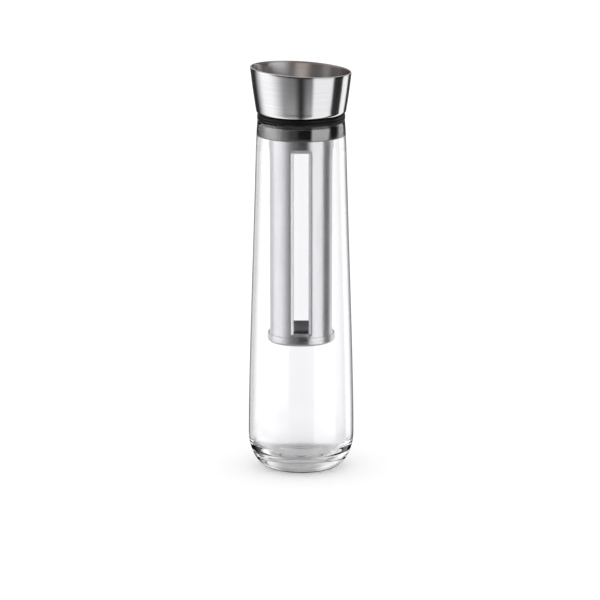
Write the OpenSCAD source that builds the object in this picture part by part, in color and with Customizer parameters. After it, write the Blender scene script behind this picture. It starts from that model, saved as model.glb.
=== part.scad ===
// Fruit infuser pitcher: a tall tapered glass carafe with a push-in pouring head
// and a slotted steel tube that hangs from the head and holds the fruit.
// Millimetres, +Z up, origin in the middle of the face it stands on.
// The head pours over the low side of its slanted rim, which faces +X.

/* [Carafe] */
// Height of the glass, from the table to the lip
carafe_h = 276; // [230:1:320]
// Outside diameter of the foot of the wall, its widest place
base_d = 82.2; // [76:0.2:100]
// Outside diameter where the taper ends and the neck turns in
shoulder_d = 70.4; // [69:0.2:76]
// Height of the neck, from that place up to the lip
neck_h = 29; // [20:1:60]
// Outside diameter at the lip
mouth_d = 67.6; // [67:0.2:70]
// Thickness of the glass wall
glass_wall = 2; // [1.6:0.1:2.2]
// Thickness of the glass floor
glass_floor = 11; // [6:0.5:16]
// Width of the rounded heel
heel_w = 18; // [8:0.5:22]
// Height of the rounded heel
heel_h = 28; // [18:0.5:34]
// Width of the flat ring that the glass stands on
stand_w = 5.1; // [3:0.1:10]
// Depth of the hollow under the foot
punt_h = 2.5; // [1:0.1:5]

/* [Pouring collar] */
// Height of the collar on its axis
collar_h = 34.8; // [28:0.1:50]
// Diameter of the collar's cone at its foot
collar_foot_d = 68.8; // [68:0.2:74]
// Diameter of the rim
rim_d = 78.3; // [74:0.1:92]
// Slant of the rim
rim_tilt = 3.2; // [0:0.1:6]
// Thickness of the collar's steel sheet
collar_sheet = 1; // [0.6:0.1:1.4]
// Radius of the rolled lower edge
curl_r = 3.8; // [1.8:0.1:4]
// Diameter of the hole in the collar's floor
collar_hole_d = 58.8; // [58.6:0.1:60]

/* [Seals] */
// Height of the ribbed seal that shows between lip and collar
rim_seal_h = 4.1; // [3.6:0.1:9]
// Diameter over its two ribs
rim_seal_d = 68.2; // [64:0.2:69]
// Depth of the sleeve that sits in the neck
sleeve_depth = 12.5; // [10:0.5:16]
// Diameter of that sleeve
sleeve_d = 62.4; // [60.4:0.1:62.4]
// How far its lips stand out
sleeve_lip = 0.3; // [0.1:0.05:0.4]
// Height of one lip
sleeve_lip_h = 1.4; // [0.8:0.1:2]

/* [Stopper core] */
// Bore that the liquid is poured through
bore_d = 40; // [34:0.5:42]
// Bore of the skirt, the socket for the infuser
socket_d = 54.8; // [54.2:0.1:56]
// Thickness of the skirt wall
skirt_wall = 1.8; // [1:0.1:1.9]
// Depth of the socket above the lip of the glass
socket_rise = 2; // [1:0.5:4]
// Height of the flap's pin above the foot of the collar
pin_rise = 12; // [11.6:0.2:16]
// How much the core's dished top climbs to the collar wall
dish_rise = 3.3; // [1:0.1:6]
// Width of the ledge that the flap lies on
ledge_w = 2.2; // [1.5:0.1:3]
// Thickness of that ledge
ledge_t = 1.6; // [1:0.1:3]
// Width of the groove that lightens the core above the strainer
groove_w = 2.6; // [1:0.1:3]

/* [Strainer] */
// Thickness of the strainer plate
strainer_t = 0.8; // [0.5:0.1:1.2]
// Diameter of one strainer hole
strainer_hole_d = 3; // [1.5:0.1:3.4]
// Distance between strainer holes
strainer_pitch = 4.8; // [4.4:0.1:6]

/* [Pouring flap] */
// Thickness of the flap's steel disc
flap_t = 0.7; // [0.5:0.1:1]
// How far the pin lies behind the axis of the bore
pin_back = 3; // [2:0.2:4]
// Diameter of the flap's pin
pin_d = 2.4; // [2:0.1:3]
// How deep each end of the pin sits in the core
pin_seat = 1.9; // [1:0.1:3]
// Wall of the carrier's hinge barrel
barrel_wall = 0.95; // [0.8:0.05:1.2]
// Length of that barrel
barrel_l = 32; // [20:0.5:34]
// Width of the carrier's plate under the disc
carrier_w = 11; // [8:0.5:12]
// Length of that plate
carrier_l = 24; // [18:0.5:26]
// Diameter of the two snap studs on the plate
stud_d = 3; // [2:0.1:4]
// Distance between the studs
stud_pitch = 15; // [10:0.5:18]
// Diameter of the steel weight
weight_d = 6.4; // [4:0.1:7]
// Length of the weight
weight_l = 16; // [10:0.5:20]
// How far the weight hangs below the pin
weight_drop = 8.2; // [7:0.1:8.6]
// Wall of the sleeve that holds the weight
weight_wall = 1.2; // [0.8:0.1:1.4]
// Thickness of the web between barrel and weight
web_t = 2.4; // [1.5:0.1:3]

/* [Infuser] */
// Outside diameter of the infuser tube
tube_d = 50.6; // [48:0.2:51]
// Thickness of the tube's steel sheet
tube_sheet = 0.7; // [0.5:0.05:1]
// How far the infuser reaches below the lip of the glass
tube_drop = 174.5; // [120:0.5:200]
// Number of slots round the tube
slot_count = 4; // [3:1:5]
// Width of a slot at the outside of the tube
slot_w = 17; // [12:0.5:20]
// Slant width of the turned-in lip along a slot
slot_lip = 3; // [2:0.1:3.6]
// How steeply that lip turns in
lip_turn = 26; // [20:1:36]
// Plain band of tube left between the foot cup and the slots
foot_band = 0.6; // [0.2:0.2:8]
// Plain band of tube left below the sleeve
head_band = 7; // [4:0.5:12]
// Height of the foot cup that is pressed over the tube
cup_h = 6.6; // [5:0.2:12]
// Radius of the cup's rounded lower edge
cup_corner = 2; // [1.2:0.1:3]
// Diameter of one drain hole in the foot cup
drain_d = 4; // [2:0.2:5]
// Distance between drain holes
drain_pitch = 8; // [7:0.2:9]
// Height of the plastic ring on top of the tube
ring_h = 9; // [8:0.5:9.5]
// How far that ring's inner edge covers the end of the tube
ring_cover = 1; // [0.5:0.1:2]
// Thickness of the infuser's sealing ring
oring_d = 1.8; // [1.2:0.1:2]

/* [Hidden] */
$fn = 96;

// Steps along the curved stretches of an outline
heel_steps = 12;
side_steps = 16;
neck_steps = 6;
small_steps = 6;
// Faces of a small round piece
small_fn = 40;

// Lips round the sleeve in the neck
sleeve_lips = 3;
// Rings of drain holes round the middle one
drain_rings = 2;

// Clearances
rest_gap = 0.3;
core_gap = 0.2;
pin_fit = 0.05;
ring_gap = 0.3;
flap_gap = 0.8;
throat_gap = 0.5;
overrun = 2;

// Shares of the lengths that the outlines follow
side_low_share = 0.225;
side_high_share = 0.31;
neck_bend_share = 0.43;
neck_keep_share = 0.83;
throat_share = 0.4;
web_share = 0.75;
// How much thinner, on each side, the drawn lip at an end of a slot is
lip_thin_share = 0.12;
// Half of the arc that the flap's ledge runs over
ledge_angle = 64;

base_r = base_d / 2;
foot_r = base_r - heel_w;
shoulder_r = shoulder_d / 2;
mouth_r = mouth_d / 2;
punt_r = foot_r - stand_w;
lip_r = glass_wall / 2;
lip_z = carafe_h - lip_r;
shoulder_h = carafe_h - neck_h;
straight_h = shoulder_h - heel_h;
turn_h = lip_z - shoulder_h;
side_slope = (base_r - shoulder_r) / straight_h;

collar_z = carafe_h + rest_gap + rim_seal_h;
collar_floor_z = collar_z + collar_sheet;
rim_z = collar_z + collar_h;
curl_z = collar_z + curl_r;

skirt_in_r = socket_d / 2;
skirt_out_r = skirt_in_r + skirt_wall;
sleeve_z = carafe_h - sleeve_depth;
throat_z = sleeve_z - throat_gap;
throat_h = throat_z - shoulder_h;
socket_z = carafe_h + socket_rise;
bore_r = bore_d / 2;
pin_r = pin_d / 2;
barrel_r = pin_r + pin_fit + barrel_wall;
pin_z = collar_z + pin_rise;
flap_z = pin_z + barrel_r;
flap_r = bore_r - flap_gap;
dish_z = flap_z + flap_t + flap_gap;
dish_edge_z = dish_z + dish_rise;
pin_half = sqrt(bore_r * bore_r - pin_back * pin_back) + pin_seat;

tube_r = tube_d / 2;
tube_in_r = tube_r - tube_sheet;
cup_z = carafe_h - tube_drop;
tube_foot_z = cup_z + cup_corner;
slot_low_z = cup_z + cup_h + foot_band;
slot_high_z = sleeve_z - head_band;
ring_r = skirt_in_r - ring_gap;
ring_top_z = socket_z - strainer_t - rest_gap;
ring_low_z = ring_top_z - ring_h;
ring_cap = ring_cover + tube_sheet;
tube_top_z = ring_top_z - ring_cap;
oring_z = ring_low_z + ring_h / 2;
oring_r = ring_r - oring_d / 2 + ring_gap / 2;

// Point on a curve with two middle points, t from 0 to 1
function bend(a, b, c, d, t) =
    a * pow(1 - t, 3) + 3 * b * pow(1 - t, 2) * t + 3 * c * (1 - t) * t * t + d * t * t * t;

// Outside of the glass from the top of the heel to the shoulder
function side_points(inset) = [
    for (i = [0:side_steps])
        bend(
            [base_r, heel_h],
            [base_r, heel_h + side_low_share * straight_h],
            [shoulder_r + side_slope * side_high_share * straight_h, shoulder_h - side_high_share * straight_h],
            [shoulder_r, shoulder_h],
            i / side_steps
        ) - [inset, 0]
];

// Outside of the neck from the shoulder to the lip
function neck_points() = [
    for (i = [1:neck_steps])
        bend(
            [shoulder_r, shoulder_h],
            [shoulder_r - side_slope * turn_h * neck_bend_share, shoulder_h + turn_h * neck_bend_share],
            [mouth_r + (shoulder_r - mouth_r) * neck_bend_share, shoulder_h + turn_h * neck_keep_share],
            [mouth_r, lip_z],
            i / neck_steps
        )
];

// Inside of the neck, which ends in a straight bore that the sleeve fits
function throat_points() = [
    for (i = [1:neck_steps])
        bend(
            [shoulder_r - glass_wall, shoulder_h],
            [shoulder_r - glass_wall - side_slope * throat_h * throat_share, shoulder_h + throat_h * throat_share],
            [mouth_r - glass_wall, throat_z - throat_h * throat_share],
            [mouth_r - glass_wall, throat_z],
            i / neck_steps
        )
];

// Quarter of an ellipse that leaves the floor at from_r and ends at the wall
function heel_points(from_r, from_z, w, h) = [
    for (i = [0:heel_steps])
        [from_r + w * sin(90 * i / heel_steps), from_z + h * (1 - cos(90 * i / heel_steps))]
];

// Part of a circle, from angle a0 to a1 counted from +X towards +Z
function arc_points(centre, r, a0, a1, steps) = [
    for (i = [0:steps])
        centre + r * [cos(a0 + (a1 - a0) * i / steps), sin(a0 + (a1 - a0) * i / steps)]
];

function backwards(list) = [for (i = [len(list) - 1:-1:0]) list[i]];

// Outside radius of the collar's cone at height z
function cone_r(z) = collar_foot_d / 2 + (rim_d - collar_foot_d) / 2 * (z - collar_z) / collar_h;

module lathe(points) {
    rotate_extrude() polygon(points);
}

// Ring of square section between two radii and two heights
module band(r_in, r_out, z_low, z_high) {
    lathe([[r_in, z_low], [r_out, z_low], [r_out, z_high], [r_in, z_high]]);
}

// Hexagonal field of holes, rings counted outwards from the middle one
module hole_field(rings, pitch, d, z_low, z_high) {
    for (q = [-rings:rings], p = [-rings:rings])
        if (abs(q + p) <= rings)
            translate([pitch * (q + p / 2), pitch * p * sin(60), z_low - overrun])
                cylinder(d = d, h = z_high - z_low + 2 * overrun, $fn = small_fn);
}

// The glass body, with its thick floor, rounded heel and turned-in neck
module carafe_glass() {
    inner_heel_h = heel_h - glass_floor;
    inner_heel_w = heel_w - glass_wall;
    outside = concat(heel_points(foot_r, 0, heel_w, heel_h), side_points(0), neck_points());
    inside = concat(
        heel_points(foot_r, glass_floor, inner_heel_w, inner_heel_h),
        side_points(glass_wall), throat_points(), [[mouth_r - glass_wall, lip_z]]
    );
    lip = arc_points([mouth_r - lip_r, lip_z], lip_r, 0, 180, 2 * small_steps);
    punt = [
        for (i = [0:small_steps])
            [punt_r * i / small_steps, punt_h * (1 - pow(i / small_steps, 2))]
    ];
    color([0.86, 0.9, 0.9, 0.4])
        lathe(concat(punt, outside, lip, backwards(inside), [[0, glass_floor]]));
}

// Spun steel collar: rolled lower edge, flared wall and slanted rim
module pour_collar() {
    top_z = rim_z + rim_d * tan(rim_tilt);
    centre = [cone_r(curl_z) - curl_r, curl_z];
    color("silver")
        difference() {
            lathe(concat(
                [[collar_hole_d / 2, collar_z]],
                arc_points(centre, curl_r, -90, 0, small_steps),
                [[cone_r(top_z), top_z], [cone_r(top_z) - collar_sheet, top_z]],
                arc_points(centre, curl_r - collar_sheet, 0, -90, small_steps),
                [[collar_hole_d / 2, collar_floor_z]]
            ));
            translate([0, 0, rim_z])
                rotate([0, rim_tilt, 0])
                    translate([-rim_d, -rim_d, 0])
                        cube([2 * rim_d, 2 * rim_d, collar_h]);
        }
}

// Black core that fills the foot of the collar: bore, dished top, flap ledge,
// pin holes, and the skirt that reaches down into the neck
module stopper_core() {
    wall_low_z = collar_floor_z + curl_r;
    wall_low_r = cone_r(wall_low_z) - collar_sheet - core_gap;
    wall_high_r = cone_r(dish_edge_z) - collar_sheet - core_gap;
    groove_r = (bore_r + pin_seat + skirt_in_r) / 2;
    groove_top_z = collar_floor_z + (dish_z - collar_floor_z) * web_share;
    color([0.07, 0.07, 0.08])
        difference() {
            union() {
                lathe([
                    [bore_r, socket_z], [bore_r, dish_z], [wall_high_r, dish_edge_z],
                    [wall_low_r, wall_low_z], [wall_low_r - curl_r, collar_floor_z],
                    [skirt_out_r, collar_floor_z], [skirt_out_r, sleeve_z],
                    [skirt_in_r, sleeve_z], [skirt_in_r, socket_z]
                ]);
                rotate([0, 0, -ledge_angle])
                    rotate_extrude(angle = 2 * ledge_angle)
                        polygon([
                            [bore_r + core_gap, flap_z - rest_gap - ledge_t - ledge_w],
                            [bore_r + core_gap, flap_z - rest_gap],
                            [bore_r - ledge_w, flap_z - rest_gap],
                            [bore_r - ledge_w, flap_z - rest_gap - ledge_t]
                        ]);
            }
            band(groove_r - groove_w / 2, groove_r + groove_w / 2, socket_z - overrun, groove_top_z);
            translate([-pin_back, pin_half, pin_z])
                rotate([90, 0, 0])
                    cylinder(r = pin_r + pin_fit, h = 2 * pin_half, $fn = small_fn);
        }
}

// Ribbed silicone ring that shows between the collar and the lip of the glass
module rim_seal() {
    low_z = carafe_h + rest_gap;
    rib_r = rim_seal_h / 4;
    rib_x = rim_seal_d / 2 - rib_r;
    color([0.05, 0.05, 0.055])
        lathe(concat(
            [[skirt_out_r, low_z]],
            arc_points([rib_x, low_z + rib_r], rib_r, -90, 90, small_steps),
            arc_points([rib_x, collar_z - rib_r], rib_r, -90, 90, small_steps),
            [[skirt_out_r, collar_z]]
        ));
}

// Silicone sleeve on the skirt, with three lips that meet the neck
module neck_seal() {
    top_z = carafe_h + rest_gap;
    sleeve_r = sleeve_d / 2;
    lip_pitch = (top_z - sleeve_z) / (sleeve_lips + 1);
    color([0.05, 0.05, 0.055])
        lathe(concat(
            [[skirt_out_r, sleeve_z], [sleeve_r - sleeve_lip, sleeve_z], [sleeve_r, sleeve_z + sleeve_lip]],
            [
                for (i = [1:sleeve_lips], edge = [-1, 0, 1])
                    [
                        sleeve_r + (edge == 0 ? sleeve_lip : 0),
                        sleeve_z + i * lip_pitch + edge * sleeve_lip_h / 2
                    ]
            ],
            [[sleeve_r, top_z], [skirt_out_r, top_z]]
        ));
}

// Perforated plate that keeps fruit back when the head is poured from
module strainer() {
    rings = floor((bore_r - strainer_hole_d / 2) / strainer_pitch);
    color("silver")
        difference() {
            band(0, skirt_in_r, socket_z - strainer_t, socket_z);
            hole_field(rings, strainer_pitch, strainer_hole_d, socket_z - strainer_t, socket_z);
        }
}

// Steel pin across the bore
module flap_pin() {
    color("silver")
        translate([-pin_back, pin_half, pin_z])
            rotate([90, 0, 0])
                cylinder(r = pin_r, h = 2 * pin_half, $fn = small_fn);
}

// Places something at both snap studs of the flap
module at_studs() {
    for (side = [-1, 1])
        translate([-pin_back, side * stud_pitch / 2, flap_z])
            children();
}

// Steel disc that covers the bore
module flap_disc() {
    color("silver")
        difference() {
            band(0, flap_r, flap_z, flap_z + flap_t);
            at_studs()
                translate([0, 0, -overrun])
                    cylinder(d = stud_d, h = flap_t + 2 * overrun, $fn = small_fn);
        }
}

// Cylinder lying along the pin, at a drop below it
module along_pin(r, l, drop) {
    translate([-pin_back, l / 2, pin_z - drop])
        rotate([90, 0, 0])
            cylinder(r = r, h = l, $fn = small_fn);
}

// Plastic carrier under the disc: plate, hinge barrel, web and weight sleeve
module flap_carrier() {
    color([0.1, 0.1, 0.11])
        difference() {
            union() {
                along_pin(barrel_r, barrel_l, 0);
                translate([-pin_back - carrier_w / 2, -carrier_l / 2, pin_z + pin_r])
                    cube([carrier_w, carrier_l, flap_z - pin_z - pin_r]);
                translate([-pin_back - web_t / 2, -weight_l / 2, pin_z - weight_drop])
                    cube([web_t, weight_l, weight_drop]);
                along_pin(weight_d / 2 + weight_wall, weight_l, weight_drop);
                at_studs() cylinder(d = stud_d, h = flap_t, $fn = small_fn);
            }
            along_pin(pin_r + pin_fit, barrel_l + overrun, 0);
            along_pin(weight_d / 2, weight_l + overrun, weight_drop);
        }
}

// Steel weight that keeps the flap shut upright and opens it when tilted
module flap_weight() {
    color("gray")
        along_pin(weight_d / 2, weight_l, weight_drop);
}

// Places something at every slot, on a height
module at_slots(z) {
    for (k = [0:slot_count - 1])
        rotate([0, 0, 360 / slot_count * k])
            translate([0, 0, z])
                children();
}

// Edge of one slot in the tube's cross-section: the sheet turned in by lip_turn
module slot_lip_section(side) {
    edge_a = asin(slot_w / 2 / tube_r);
    rotate([0, 0, side * edge_a])
        translate([tube_r, 0])
            rotate([0, 0, -side * (edge_a + lip_turn)])
                translate([-tube_sheet, side > 0 ? -slot_lip : 0])
                    square([tube_sheet, slot_lip]);
}

// Edge at one end of a slot, drawn inwards; it points up where side is 1
module slot_end_lip(side) {
    slot_a = asin(slot_w / 2 / tube_r);
    turned_in = slot_lip * sin(lip_turn);
    root = slot_lip / 2;
    r_in = tube_in_r + tube_sheet * lip_thin_share;
    r_out = tube_r - tube_sheet * lip_thin_share;
    rotate([0, 0, -slot_a])
        rotate_extrude(angle = 2 * slot_a)
            polygon([
                [r_in, -side * root], [r_out, -side * root], [r_out, 0],
                [r_out - turned_in, side * slot_lip], [r_in - turned_in, side * slot_lip], [r_in, 0]
            ]);
}

// Slotted steel tube with a turned-in lip round each slot
module infuser_tube() {
    slot_a = asin(slot_w / 2 / tube_r);
    reach = 2 * tube_r;
    color("silver")
        union() {
            difference() {
                band(tube_in_r, tube_r, tube_foot_z, tube_top_z);
                at_slots(slot_low_z)
                    linear_extrude(slot_high_z - slot_low_z)
                        polygon([
                            [0, 0], [reach * cos(slot_a), -reach * sin(slot_a)],
                            [reach * cos(slot_a), reach * sin(slot_a)]
                        ]);
            }
            at_slots(slot_low_z)
                linear_extrude(slot_high_z - slot_low_z) {
                    slot_lip_section(-1);
                    slot_lip_section(1);
                }
            at_slots(slot_high_z) slot_end_lip(-1);
            at_slots(slot_low_z) slot_end_lip(1);
        }
}

// Drawn cup pressed over the foot of the tube, with drain holes
module infuser_foot() {
    cup_r = tube_r + tube_sheet;
    centre = [cup_r - cup_corner, cup_z + cup_corner];
    color("silver")
        difference() {
            lathe(concat(
                [[0, cup_z]],
                arc_points(centre, cup_corner, -90, 0, small_steps),
                [[cup_r, cup_z + cup_h], [tube_r, cup_z + cup_h]],
                arc_points(centre, cup_corner - tube_sheet, 0, -90, small_steps),
                [[0, cup_z + tube_sheet]]
            ));
            hole_field(drain_rings, drain_pitch, drain_d, cup_z, cup_z + tube_sheet);
        }
}

// Plastic ring on top of the tube, which pushes up into the stopper's socket
module infuser_ring() {
    color([0.07, 0.07, 0.08])
        difference() {
            lathe([
                [tube_r, ring_low_z], [ring_r, ring_low_z], [ring_r, ring_top_z],
                [tube_in_r - ring_cover, ring_top_z], [tube_in_r - ring_cover, tube_top_z],
                [tube_r, tube_top_z]
            ]);
            rotate_extrude() translate([oring_r, oring_z]) circle(d = oring_d, $fn = small_fn);
        }
}

// Silicone sealing ring in the groove of the infuser's ring
module infuser_oring() {
    color([0.05, 0.05, 0.055])
        rotate_extrude() translate([oring_r, oring_z]) circle(d = oring_d, $fn = small_fn);
}

carafe_glass();
pour_collar();
stopper_core();
rim_seal();
neck_seal();
strainer();
flap_pin();
flap_disc();
flap_carrier();
flap_weight();
infuser_tube();
infuser_foot();
infuser_ring();
infuser_oring();
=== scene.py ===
"""Fruit infuser pitcher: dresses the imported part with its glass, steel, silicone and studio."""

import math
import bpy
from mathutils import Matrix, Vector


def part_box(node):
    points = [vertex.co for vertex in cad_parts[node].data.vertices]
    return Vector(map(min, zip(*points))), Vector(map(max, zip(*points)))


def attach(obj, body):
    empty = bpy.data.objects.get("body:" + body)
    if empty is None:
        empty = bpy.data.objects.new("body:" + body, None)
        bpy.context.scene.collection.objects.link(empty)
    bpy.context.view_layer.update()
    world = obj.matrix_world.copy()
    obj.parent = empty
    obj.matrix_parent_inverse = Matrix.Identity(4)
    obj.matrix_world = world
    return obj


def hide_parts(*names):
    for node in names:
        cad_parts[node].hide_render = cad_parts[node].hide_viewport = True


bl_info = {
    "name": "Fruit Infuser Pitcher",
    "version": (1, 0, 0),
    "blender": (4, 5, 0),
    "location": "3D View > Sidebar > Pitcher",
    "description": "Builds the looks of a fruit infuser pitcher on its packed frame",
    "category": "Object",
}

import bmesh
import bpy
from mathutils import Vector

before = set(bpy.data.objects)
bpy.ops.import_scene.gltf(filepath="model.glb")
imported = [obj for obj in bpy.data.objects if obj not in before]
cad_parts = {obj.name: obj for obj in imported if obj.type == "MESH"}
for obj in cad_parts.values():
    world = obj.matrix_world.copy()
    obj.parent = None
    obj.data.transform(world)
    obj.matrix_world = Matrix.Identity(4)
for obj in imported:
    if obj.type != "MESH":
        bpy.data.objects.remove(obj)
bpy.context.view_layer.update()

GLASS_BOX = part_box("carafe_glass")
COLLAR_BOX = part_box("pour_collar")
CORE_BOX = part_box("stopper_core")
TUBE_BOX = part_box("infuser_tube")
CUP_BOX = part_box("infuser_foot")
RING_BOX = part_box("infuser_ring")
DISC_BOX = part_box("flap_disc")

TURN = 2 * math.pi
WHITE = (1.0, 1.0, 1.0, 1.0)
# Steps round the glass, a turned piece, a small piece, a stud and a hole
FINE_STEPS, ROUND_STEPS, SMALL_STEPS, STUD_STEPS, HOLE_STEPS = 192, 144, 48, 32, 24
# How far from a corner its rounding starts
CRISP, SOFT, ROUND = 0.0002, 0.0003, 0.0005


def length(name, description, default, low=0.0):
    return bpy.props.FloatProperty(
        name=name, description=description, default=default, min=low, unit="LENGTH", precision=5
    )


def angle(name, description, degrees):
    return bpy.props.FloatProperty(
        name=name, description=description, default=math.radians(degrees), subtype="ANGLE"
    )


def colour(name, description, default):
    return bpy.props.FloatVectorProperty(
        name=name, description=description, default=default, size=3, min=0.0, max=1.0, subtype="COLOR"
    )


# Settings


class CarafeSettings(bpy.types.PropertyGroup):
    """Sizes of the glass"""

    height: length("Height", "From the table to the lip", GLASS_BOX[1].z)
    base_radius: length("Base radius", "Widest place, on top of the heel", GLASS_BOX[1].x)
    shoulder_radius: length("Shoulder radius", "Where the taper ends and the neck turns in", 0.0352)
    shoulder_height: length("Shoulder height", "Height of that place", 0.247)
    mouth_radius: length("Mouth radius", "Outside, at the lip", 0.0338)
    wall: length("Wall", "Thickness of the glass wall", 0.002)
    floor: length("Floor", "Thickness of the glass floor", 0.011)
    heel_width: length("Heel width", "Width of the rounded heel", 0.018)
    heel_height: length("Heel height", "Height of the rounded heel", 0.028)
    punt_radius: length("Punt radius", "Radius of the hollow under the foot", 0.018)
    punt_depth: length("Punt depth", "Depth of the hollow under the foot", 0.0025)
    throat_height: length("Throat height", "Where the straight bore of the neck begins", 0.263)
    tint: colour("Tint", "Colour of the glass", (0.978, 0.976, 0.984))


class HeadSettings(bpy.types.PropertyGroup):
    """Sizes of the pouring head"""

    foot_height: length("Collar foot", "Height of the collar's underside", COLLAR_BOX[0].z)
    height: length("Collar height", "From its underside to the rim, on the axis", 0.0348)
    foot_radius: length("Collar foot radius", "Radius of the cone at its foot", 0.0344)
    rim_radius: length("Rim radius", "Radius of the cone at the rim", 0.03915)
    rim_tilt: angle("Rim slant", "Slant of the rim", 3.2)
    sheet: length("Sheet", "Thickness of the collar's steel", 0.001)
    curl: length("Curl", "Radius of the rolled lower edge", 0.0038)
    belly: length("Belly", "How far the wall bulges between foot and rim", 0.00025)
    hole_radius: length("Floor hole", "Radius of the hole in the collar's floor", 0.0294)
    seal_radius: length("Seal radius", "Over the ribs of the seal", 0.0341)
    sleeve_foot: length("Sleeve foot", "Height of the lower end of the sleeve", CORE_BOX[0].z)
    sleeve_shoulder: length("Sleeve shoulder", "From the glass lip down to the sleeve's shoulder", 0.0029)
    skirt_radius: length("Skirt radius", "Outside of the core's skirt", 0.0292)
    socket_radius: length("Socket radius", "Bore of the skirt", 0.0274)
    socket_height: length("Socket height", "Height of the end of that bore", 0.278)
    bore_radius: length("Bore radius", "Bore that the liquid is poured through", 0.02)
    pin_height: length("Pin height", "Height of the flap's pin", 0.2924)
    pin_back: length("Pin offset", "How far the pin lies behind the axis", 0.003)
    steel: colour("Steel", "Colour of the brushed collar", (0.645, 0.645, 0.66))
    rubber: colour("Silicone", "Colour of the seals", (0.0032, 0.0032, 0.0037))
    plastic: colour("Plastic", "Colour of the core and the infuser's ring", (0.017, 0.017, 0.019))


class InfuserSettings(bpy.types.PropertyGroup):
    """Sizes of the infuser"""

    radius: length("Tube radius", "Outside of the tube", 0.0253)
    sheet: length("Sheet", "Thickness of the tube's steel", 0.0007)
    foot_height: length("Foot", "Height of the lower end of the tube", TUBE_BOX[0].z)
    top_height: length("Top", "Height of the upper end of the tube", TUBE_BOX[1].z)
    slot_low: length("Slot foot", "Height of the lower end of the slots", 0.1087)
    slot_high: length("Slot head", "Height of the upper end of the slots", 0.2565)
    slot_width: length("Slot width", "Width of a slot, outside its bent edge", 0.017)
    slot_lip: length("Slot lip", "Slant width of the turned-in edge", 0.003)
    lip_turn: angle("Lip turn", "How steeply that edge turns in", 26)
    cup_corner: length("Cup corner", "Radius of the foot cup's lower edge", 0.002)
    slots: bpy.props.IntProperty(name="Slots", description="Slots round the tube", default=4, min=3, max=5)
    steel: colour("Steel", "Colour of the drawn tube", (0.69, 0.685, 0.7))


class StudioSettings(bpy.types.PropertyGroup):
    """Floor, light and camera"""

    distance: length("Distance", "From the camera to the point that it looks at", 3.0)
    elevation: angle("Elevation", "Camera above the horizon", 12.6)
    aim_height: length("Aim height", "Height of the point that the camera looks at", 0.133)
    aim_side: length("Aim side", "How far that point lies to the right", -0.0009, low=-1.0)
    lens: bpy.props.FloatProperty(name="Lens", description="Focal length on a 36 mm sensor", default=230.8)
    paper: colour("Paper", "Colour of the floor", (0.86, 0.86, 0.865))


# Outlines and meshes


def evenly(start, end, steps):
    """Numbers from start to end, both included."""
    return [start + (end - start) * i / steps for i in range(steps + 1)]


def bend(a, b, c, d, steps):
    """Points on a curve with two middle points."""
    out = []
    for t in evenly(0, 1, steps):
        k = ((1 - t) ** 3, 3 * t * (1 - t) ** 2, 3 * t * t * (1 - t), t**3)
        out.append(tuple(k[0] * a[j] + k[1] * b[j] + k[2] * c[j] + k[3] * d[j] for j in (0, 1)))
    return out


def arc(centre, radius, start, end, steps):
    """Points on a circle, angles in degrees from outwards towards upwards."""
    turns = [math.radians(a) for a in evenly(start, end, steps)]
    return [(centre[0] + radius * math.cos(a), centre[1] + radius * math.sin(a)) for a in turns]


def eased(points, steps=4):
    """Closed outline whose corners (r, z, ease) are rounded by a curve that starts ease before the corner."""
    out = []
    n = len(points)
    for i, p in enumerate(points):
        ease = p[2] if len(p) > 2 else 0.0
        here = Vector(p[:2])
        if ease <= 0:
            out.append(tuple(here))
            continue
        before = Vector(points[i - 1][:2]) - here
        after = Vector(points[(i + 1) % n][:2]) - here
        a = here + before.normalized() * min(ease, before.length * 0.49)
        b = here + after.normalized() * min(ease, after.length * 0.49)
        for t in evenly(0, 1, steps):
            out.append(tuple(a * (1 - t) ** 2 + here * 2 * t * (1 - t) + b * t * t))
    return out


def new_piece(name, bm, sharp=32.0):
    """A shaded object from a bmesh, with crisp edges kept where faces meet steeply."""
    bmesh.ops.recalc_face_normals(bm, faces=bm.faces)
    mesh = bpy.data.meshes.new(name)
    bm.to_mesh(mesh)
    bm.free()
    mesh.polygons.foreach_set("use_smooth", [True] * len(mesh.polygons))
    mesh.set_sharp_from_angle(angle=math.radians(sharp))
    piece = bpy.data.objects.new(name, mesh)
    bpy.context.scene.collection.objects.link(piece)
    return piece


def revolve(bm, outline_at, place, angles, closed=True):
    """Adds a closed outline (r, h) at each angle, and faces between; place gives a point for (r, a, h)."""
    rows = []
    poles = {}
    for a in angles:
        outline = outline_at(a) if callable(outline_at) else outline_at
        row = []
        for i, (r, h) in enumerate(outline):
            if r < 1e-7:
                if i not in poles:
                    poles[i] = bm.verts.new(place(0.0, a, h))
                row.append(poles[i])
            else:
                row.append(bm.verts.new(place(r, a, h)))
        rows.append(row)
    for here, there in zip(rows, rows[1:] + rows[:1] if closed else rows[1:]):
        for i in range(len(here)):
            j = (i + 1) % len(here)
            ring = list(dict.fromkeys((here[i], there[i], there[j], here[j])))
            if len(ring) > 2:
                bm.faces.new(ring)
    return rows


def turned(name, outline_at, steps=ROUND_STEPS, start=0.0, sweep=TURN, sharp=32.0):
    """Revolves a closed outline round the Z axis. outline_at is the outline, or gives it for an angle."""
    closed = sweep == TURN
    bm = bmesh.new()

    def place(r, a, z):
        return r * math.cos(a), r * math.sin(a), z

    angles = evenly(start, start + sweep, steps)
    rows = revolve(bm, outline_at, place, angles[:-1] if closed else angles, closed)
    if not closed:
        bm.faces.new(rows[0])
        bm.faces.new(rows[-1])
    return new_piece(name, bm, sharp)


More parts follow.
